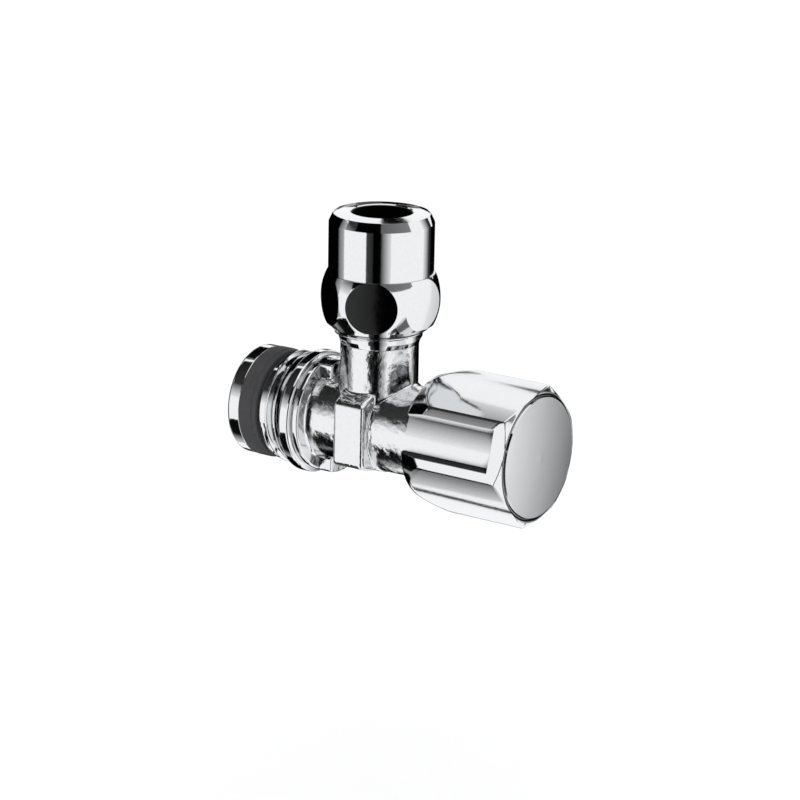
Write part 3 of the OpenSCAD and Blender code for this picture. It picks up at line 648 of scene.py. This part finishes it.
# %% Nut flats
MANY_CORNERS = 30  # a cut flat has more corners than this, and no other face does
centre = Vector((OUTLET_X, 0, NUT_HEX_Z))
for i in range(6):
    angle = NUT_TURN + i * pi / 3
    outward = Vector((cos(angle), sin(angle), 0))
    cut = bmesh.ops.bisect_plane(bm, geom=bm.verts[:] + bm.edges[:] + bm.faces[:], dist=SAME_POINT / 2,
                                 plane_co=centre + outward * NUT_FLAT, plane_no=outward, clear_outer=True)
    rim = [part for part in cut["geom_cut"] if isinstance(part, bmesh.types.BMEdge)]
    bmesh.ops.holes_fill(bm, edges=rim, sides=0)
bmesh.ops.dissolve_degenerate(bm, edges=bm.edges, dist=SAME_POINT * 2)
bmesh.ops.recalc_face_normals(bm, faces=bm.faces)
flats = [face for face in bm.faces if len(face.verts) > MANY_CORNERS]
rims = [edge for face in flats for edge in face.edges]
bmesh.ops.bevel(bm, geom=rims, offset=0.16 * MM, offset_type="OFFSET", segments=3, profile=0.5,
                affect="EDGES", clamp_overlap=True, material=-1)
print("nut flats:", len(flats), "open edges:", open_edges(bm))
nut = make("nut_with_ball_corners", bm, "nut", "turned_chrome", edge_angle=18, weighted=False)
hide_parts("compression_nut")

# %% [markdown]
# ## Knob
# The knob is moulded plastic under chrome. It is a round blank with a conical back and a bevelled front. It
# has three wide faces, crowned by a hair, and three narrower, rounder sides. Each narrow side has a deep
# slot for the fingers and a slanted land between the slot and the front. A mould leaves every edge round.
# Booleans with a bevel on top tend to fail where so many edges meet. So the blank is turned first, and then
# each point moves in to the nearest of those surfaces. Where two surfaces meet, a smooth minimum blends
# them, which rounds the edge.
# %% Knob sizes
KNOB_CONE_R = 11.3 * MM
KNOB_CONE_END = knob_low.x + 5.2 * MM
KNOB_BEVEL = 0.95 * MM
KNOB_BEVEL_R = 1.45 * MM
FRONT = knob_high.x
SHELL_FRONT = FRONT + 0.75 * MM
CAP_SEAT_R = CAP_R + 0.3 * MM
RECESS_END = knob_low.x + 19.0 * MM
RECESS_WALL_R = 11.3 * MM
LAND_AT_RECESS = 12.15 * MM
LAND_TAPER = 0.18
FRONT_RECESS_R = 9.1 * MM
CAVITY_R = 9.2 * MM
WEB_START = 44.0 * MM
WEB_END = 45.6 * MM
HUB_R = 6.4 * MM
HUB_START = 37.6 * MM
HUB_BORE_R = 4.93 * MM
SCREW_HOLE_R = 2.1 * MM
THIRD = 2 * pi / 3
BEVEL_SLOPE = KNOB_BEVEL_R / KNOB_BEVEL
CONE_SLOPE = (KNOB_R - KNOB_CONE_R) / (KNOB_CONE_END - knob_low.x)
print(f"each slot is {(RECESS_END - knob_low.x) / MM:.1f} mm long")


# %% Knob surfaces
def blend_min(a, b, reach):
    """The smaller of two lengths, with a round change between them."""
    gap = max(reach - abs(a - b), 0) / reach
    return min(a, b) - gap * gap * reach / 4


def smooth_step(value, low, high):
    """Goes from 0 to 1 between two numbers with no corner."""
    t = min(max((value - low) / (high - low), 0), 1)
    return t * t * (3 - 2 * t)


def from_nearest(turn_angle, first):
    """The angle from the nearest of three directions, a third of a turn apart, one of which is given."""
    return (turn_angle - first + THIRD / 2) % THIRD - THIRD / 2


def crowned(middle, crown_r, angle):
    """How far a crowned face lies from the axis, at an angle from its middle."""
    behind = crown_r - middle
    return sqrt(crown_r ** 2 - (behind * sin(angle)) ** 2) - behind * cos(angle)


def side_radius(turn_angle):
    """The knob's outline: how far its side lies from the axis in this direction."""
    flat = crowned(KNOB_FLAT, FLAT_CROWN_R, from_nearest(turn_angle, KNOB_TURN + THIRD / 2))
    side = crowned(KNOB_SIDE, KNOB_SIDE_BULGE_R, from_nearest(turn_angle, KNOB_TURN))
    return blend_min(flat, side, 0.2 * MM)


def turned_radius(place):
    """The blank's own outside radius, with round edges at the bevel and at the cone."""
    bevel = KNOB_R - KNOB_BEVEL_R + BEVEL_SLOPE * (SHELL_FRONT - place)
    back = KNOB_CONE_R + CONE_SLOPE * (place - knob_low.x)
    return blend_min(blend_min(KNOB_R, bevel, 0.2 * MM), back, 0.3 * MM)


def knob_radius(place, turn_angle):
    """The knob's outside radius: blank, faces, slanted lands and slots together."""
    from_side = from_nearest(turn_angle, KNOB_TURN)
    land = (LAND_AT_RECESS - LAND_TAPER * (place - RECESS_END)) / cos(from_side)
    skin = blend_min(turned_radius(place), side_radius(turn_angle), 0.15 * MM)
    skin = blend_min(skin, land, 0.12 * MM)
    slot_floor = blend_min(crowned(KNOB_RECESS_FLOOR, RECESS_CROWN_R, from_side), skin, 0.2 * MM)
    inside_walls = (RECESS_HALF - abs(from_side)) * RECESS_WALL_R
    in_slot = smooth_step(inside_walls, -0.07 * MM, 0.07 * MM)
    in_slot *= smooth_step(RECESS_END - place, -0.16 * MM, 0.16 * MM)
    return skin + (slot_floor - skin) * in_slot


print(f"slot floor {knob_radius(FRONT - 10 * MM, KNOB_TURN) / MM:.2f} mm from the axis")


# %% Where the knob's points are dense
# Each pair is a share of the points and the angle they reach, from the middle of a narrow side.
DENSE_STEPS = [(0, 0), (0.14, 16.0), (0.42, 19.2), (0.54, 22.6), (0.86, 27.6), (1, 60)]


def even_to_dense(share):
    """Moves the steps of half a sector towards the slot's walls and the corner edges."""
    for (a, low), (b, high) in zip(DENSE_STEPS, DENSE_STEPS[1:]):
        if share <= b:
            return radians(low + (high - low) * (share - a) / (b - a))


def dense_angle(turn_angle):
    """The same for the whole turn, mirrored about each narrow side."""
    from_side = from_nearest(turn_angle, KNOB_TURN)
    moved = even_to_dense(min(abs(from_side) / (THIRD / 2), 1))
    return turn_angle - from_side + (moved if from_side > 0 else -moved)


def run(start, end, parts):
    """Places from start to end, without the last."""
    return [start + (end - start) * i / parts for i in range(parts)]


print("a point at 50 degrees moves to", round(dense_angle(radians(50)) / radians(1), 1))

# %% Knob blank
EDGE_ZONE = 0.4 * MM
CONE_STEPS = 24
BEVEL_STEPS = 10
BEVEL_END = SHELL_FRONT - KNOB_BEVEL
outer = [(KNOB_R, x) for x in
         run(BEVEL_END, BEVEL_END - EDGE_ZONE, 5)
         + run(BEVEL_END - EDGE_ZONE, RECESS_END + EDGE_ZONE, 8)
         + run(RECESS_END + EDGE_ZONE, RECESS_END - EDGE_ZONE, 12)
         + run(RECESS_END - EDGE_ZONE, KNOB_CONE_END + 0.5 * MM, 16)
         + run(KNOB_CONE_END + 0.5 * MM, KNOB_CONE_END, 5)]
cone = list(zip(run(KNOB_R, KNOB_CONE_R, CONE_STEPS), run(KNOB_CONE_END, knob_low.x, CONE_STEPS)))
front_edge = list(zip(run(KNOB_R - KNOB_BEVEL_R, KNOB_R, BEVEL_STEPS),
                      run(SHELL_FRONT, BEVEL_END, BEVEL_STEPS)))
front = [(FRONT_RECESS_R, FRONT), (CAP_SEAT_R, FRONT), (CAP_SEAT_R, SHELL_FRONT - 0.1 * MM),
         (CAP_SEAT_R + 0.1 * MM, SHELL_FRONT)]
back_rim = [(KNOB_CONE_R - 0.05 * MM, knob_low.x + 0.02 * MM), (KNOB_CONE_R - 0.3 * MM, knob_low.x),
            (CAVITY_R, knob_low.x)]
hub = [(CAVITY_R, WEB_START), (HUB_R, WEB_START), (HUB_R, HUB_START), (HUB_BORE_R, HUB_START),
       (HUB_BORE_R, WEB_START), (SCREW_HOLE_R, WEB_START), (SCREW_HOLE_R, WEB_END),
       (FRONT_RECESS_R, WEB_END)]
blank = front + front_edge + outer + cone + back_rim + hub
print("blank outline:", len(blank), "points")

# %% Knob mesh
bm = bmesh.new()
turn(bm, blank, X_AXIS, steps=600, sectors=12)
for vert in bm.verts:
    radius = hypot(vert.co.y, vert.co.z)
    if radius > CAVITY_R + 0.3 * MM:
        direction = dense_angle(atan2(vert.co.z, -vert.co.y))
        vert.co = along_x(min(radius, knob_radius(vert.co.x, direction)), vert.co.x, direction)
bmesh.ops.remove_doubles(bm, verts=bm.verts, dist=SAME_POINT / 2)
bmesh.ops.recalc_face_normals(bm, faces=bm.faces)
print("knob open edges:", open_edges(bm))
knob = make("knob_shell_plated", bm, "knob", "plated_plastic", edge_angle=40, weighted=False)
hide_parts("knob_shell")

# %% [markdown]
# ## Front cap
# A thin domed disc closes the knob. It snaps in with a short skirt and hides the screw, and a narrow dark
# gap shows all round it. A flat disc would reflect one flat shade, so the dome is part of the outline that
# is spun: it is only a third of a millimetre high, but it is what makes the shade drift across the disc.
# %% Cap
SKIRT_R = 9.0 * MM
SKIRT_BORE_R = 8.1 * MM
CAP_BACK = FRONT + 0.1 * MM
CAP_FACE = cap_high.x - 0.35 * MM
DOME_R = CAP_R - 0.3 * MM
DOME_HEIGHT = 0.33 * MM
DOME_TIP_R = 0.02 * MM
rim = rounded([(SKIRT_R, cap_low.x), (SKIRT_R, CAP_BACK), (CAP_R - 0.1 * MM, CAP_BACK),
               (CAP_R, FRONT + 0.22 * MM), (CAP_R, CAP_FACE - 0.3 * MM)], 0.08 * MM, 3)
dome = [(DOME_R * (1 - share), CAP_FACE + DOME_HEIGHT * (1 - (1 - share) ** 2))
        for share in run(0, 1, 12)]
inside = [(DOME_TIP_R, cap_high.x - 0.01 * MM), (DOME_TIP_R, CAP_BACK), (SKIRT_BORE_R, CAP_BACK),
          (SKIRT_BORE_R, cap_low.x)]
bm = bmesh.new()
turn(bm, rim + dome + inside, X_AXIS, steps=180)
cap = make("knob_front_cap", bm, "knob", "plated_plastic", edge_angle=35)
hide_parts("knob_cap")

# %% [markdown]
# ## Studio
# Chrome has hardly any colour of its own: it shows the room. A product photographer puts it in a white
# tent and hangs black cards round it, and those cards draw the dark bands that make it look like metal.
# Lamps would leave bright spots and hard shadows instead, so the light here is the white surround alone.
# %% Floor and white surround
FLOOR_Z = -0.07
bm = bmesh.new()
bmesh.ops.create_grid(bm, x_segments=1, y_segments=1, size=1.2, matrix=Matrix.Translation((0, 0, FLOOR_Z)))
floor = linked("floor", bm)
floor_paint = new_material("white_paper")
paper = grain(floor_paint, 20 * MM)
finish_material(floor_paint, Base_Color=blend_colour(floor_paint, paper, "#F8F8F8", "#FBFBFB"), Roughness=0.9)
floor.data.materials.append(floor_paint)
floor.visible_glossy = False

world = bpy.data.worlds.new("white_surround")
scene.world = world
world.use_nodes = True
backdrop = world.node_tree.nodes["Background"]
backdrop.inputs["Color"].default_value = hex_colour("#FFFFFF")
backdrop.inputs["Strength"].default_value = 1.12
print("floor", abs(FLOOR_Z) / MM, "mm under the valve's axis")

# %% Camera
CAMERA_PLACE = (373.1 * MM, -516.3 * MM, 187.5 * MM)
lens = bpy.data.cameras.new("camera")
camera = bpy.data.objects.new("camera", lens)
scene.collection.objects.link(camera)
scene.camera = camera
lens.sensor_width = 36.0
lens.lens = 161.6
lens.clip_start = 0.05
lens.clip_end = 20
azimuth = radians(55.571)
elevation = radians(16.235)
roll = radians(1.116)
back = Vector((cos(azimuth) * cos(elevation), -sin(azimuth) * cos(elevation), sin(elevation)))
level = Vector((0, 0, 1)).cross(back).normalized()
upright = back.cross(level)
right = cos(roll) * level + sin(roll) * upright
up = -sin(roll) * level + cos(roll) * upright
rows = [(right[i], up[i], back[i], CAMERA_PLACE[i]) for i in range(3)]
camera.matrix_world = Matrix((*rows, (0, 0, 0, 1)))
print("camera at", [round(n, 3) for n in camera.matrix_world.translation])

# %% [markdown]
# ## Cards
# Each card is hung in the direction that a face of the valve looks at in its mirror. The far ones are
# pieces of a sphere, set by direction alone. The near ones lie level a few centimetres above and below the
# valve, so what they darken depends on where a face is too. A gradient painted on the metal could draw the
# same bands, but they would turn with the knob. The cards are seen only in reflections, so they cast no
# shadow and don't darken the floor.
# %% Card helpers
BLACK = "#020202"


def show_only_in_metal(piece, paint, colour, two_faced=False):
    """Lets a card glow in its own shade, and hides it from all but reflections."""
    light = add(paint, "Emission", Color=colour, Strength=1.0).outputs["Emission"]
    if two_faced:
        clear = add(paint, "BsdfTransparent").outputs["BSDF"]
        side = add(paint, "NewGeometry").outputs["Backfacing"]
        mix = add(paint, "MixShader", Fac=side)
        paint.node_tree.links.new(light, mix.inputs[1])
        paint.node_tree.links.new(clear, mix.inputs[2])
        light = mix.outputs["Shader"]
    add(paint, "OutputMaterial", Surface=light)
    piece.data.materials.append(paint)
    for ray in ("camera", "diffuse", "transmission", "volume_scatter", "shadow"):
        setattr(piece, "visible_" + ray, False)


def card(name, azimuths, heights, shades, upwards=False, distance=0.9):
    """Hangs a curved card far off, between two directions and two heights in degrees. It goes from its
    first shade to its second sideways, or upwards."""
    bm = bmesh.new()
    bmesh.ops.create_grid(bm, x_segments=24, y_segments=24, size=1)
    share = bm.verts.layers.float.new("share")
    for vert in bm.verts:
        across, rise = (vert.co.x + 1) / 2, (vert.co.y + 1) / 2
        vert[share] = rise if upwards else across
        a = radians(azimuths[0] + (azimuths[1] - azimuths[0]) * across)
        e = radians(heights[0] + (heights[1] - heights[0]) * rise)
        vert.co = Vector((cos(a) * cos(e), -sin(a) * cos(e), sin(e))) * distance
    piece = as_object(name, bm)
    paint = new_material(name)
    fade = add(paint, "Attribute", {"attribute_name": "share"}).outputs["Fac"]
    show_only_in_metal(piece, paint, blend_colour(paint, fade, *shades))


def near_card(name, low, high, height, face_up=True, turned=0):
    """Lays a black card level near the valve, between two corners in millimetres; its far side is clear."""
    bm = bmesh.new()
    size = Matrix.Diagonal(((high[0] - low[0]) / 2 * MM, (high[1] - low[1]) / 2 * MM, 1, 1))
    place = Matrix.Translation(((low[0] + high[0]) / 2 * MM, (low[1] + high[1]) / 2 * MM, height * MM))
    bmesh.ops.create_grid(bm, x_segments=1, y_segments=1, size=1,
                          matrix=place @ Matrix.Rotation(radians(turned), 4, "Z") @ size)
    if not face_up:
        bmesh.ops.reverse_faces(bm, faces=bm.faces)
    show_only_in_metal(linked(name, bm), new_material(name), hex_colour(BLACK), two_faced=True)


# %% Cards by the direction that the metal sees them in
# These four draw the dark bands of the nut and of the upright neck.
card("card_beside_camera", (56, 72), (-75, 62), (BLACK, BLACK))
card("card_beside_camera_dark", (72, 87), (-75, 18), ("#2A2A2A", "#454545"))
card("card_beside_camera_fade", (34, 56), (-75, 20), ("#F4F4F4", "#1C1C1C"))
card("card_above_camera", (72, 116), (19, 50), (BLACK, BLACK))
# These shade the nut's chamfer and the sides that face left.
card("card_above_right", (-14, 56), (21, 46), ("#8A8A8A", "#6A6A6A"))
card("card_left_grey", (142, 160), (-28, 28), ("#C0C0C0", "#686868"))
card("card_back_left", (160, 206), (-34, 30), (BLACK, BLACK))
# These draw dark edges at the back and underneath, and the shade across the disc.
card("card_behind", (206, 284), (-30, 6), (BLACK, BLACK))
card("strip_low_behind", (210, 244), (-41, -31), (BLACK, BLACK))
card("card_high_behind", (236, 276), (30, 62), (BLACK, BLACK))
card("card_right_dark", (284, 293), (-46, 40), ("#2A2A2A", "#3A3A3A"))
card("card_right_fade", (293, 313), (-46, 40), ("#3A3A3A", "#FAFAFA"))
# These fade across the slot's floor and the knob's faces.
card("card_left_fade", (116, 142), (8, 30), ("#FFFFFF", "#3C3C3C"), upwards=True)
card("card_high_left", (116, 184), (30, 64), ("#3C3C3C", "#161616"))
card("card_high_left_fade", (192, 222), (34, 64), ("#101010", "#E8E8E8"))
card("card_low_left", (128, 160), (-64, -30), (BLACK, "#141414"))
card("card_low_left_fade", (160, 196), (-64, -30), ("#141414", "#E0E0E0"))
# These lie level above and below the valve.
near_card("card_over_elbow", (-60, 2), (3, 50), 36, face_up=False)
near_card("card_under_elbow", (-30, -8), (0, 30), -36)
near_card("strip_under_knob", (-4, 1.5), (64, 4.5), -40, turned=5)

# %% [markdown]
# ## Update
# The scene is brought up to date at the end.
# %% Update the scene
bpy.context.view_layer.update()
